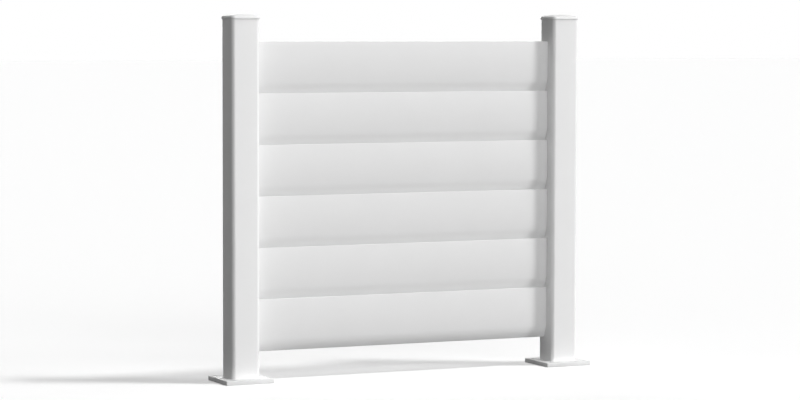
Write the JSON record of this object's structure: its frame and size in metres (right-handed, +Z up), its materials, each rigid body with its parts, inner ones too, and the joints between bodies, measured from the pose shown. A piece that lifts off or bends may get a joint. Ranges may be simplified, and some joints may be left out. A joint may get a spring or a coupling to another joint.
{
  "type": "windbreak fence bay",
  "caption": "White coated aluminium windbreak bay: wide overlapping slats between square posts on foot plates, with domed post caps.",
  "frame": {"origin": "centre of the underside of the left foot plate", "axes": "+X along the panel to the right post, +Y to the back of the panel, +Z up"},
  "size_m": [1.114, 0.138, 0.998],
  "materials": {
    "post_coating": "fine satin powder coat, white",
    "cap_coating": "fine satin powder coat, white",
    "foot_plate_coating": "fine satin powder coat, white",
    "slat_coating": "fine satin powder coat, white",
    "bracket_coating": "fine satin powder coat, white"
  },
  "bodies": {
    "root": {"foot_plate_left": "foot_plate_coating", "foot_plate_right": "foot_plate_coating", "post_left": "post_coating", "post_right": "post_coating", "post_cap_left": "cap_coating", "post_cap_right": "cap_coating", "slat_1": "slat_coating", "slat_2": "slat_coating", "slat_3": "slat_coating", "slat_4": "slat_coating", "slat_5": "slat_coating", "slat_6": "slat_coating", "slat_bracket_left_1": "bracket_coating", "slat_bracket_left_2": "bracket_coating", "slat_bracket_left_3": "bracket_coating", "slat_bracket_left_4": "bracket_coating", "slat_bracket_left_5": "bracket_coating", "slat_bracket_left_6": "bracket_coating", "slat_bracket_right_1": "bracket_coating", "slat_bracket_right_2": "bracket_coating", "slat_bracket_right_3": "bracket_coating", "slat_bracket_right_4": "bracket_coating", "slat_bracket_right_5": "bracket_coating", "slat_bracket_right_6": "bracket_coating"}
  },
  "joints": []
}
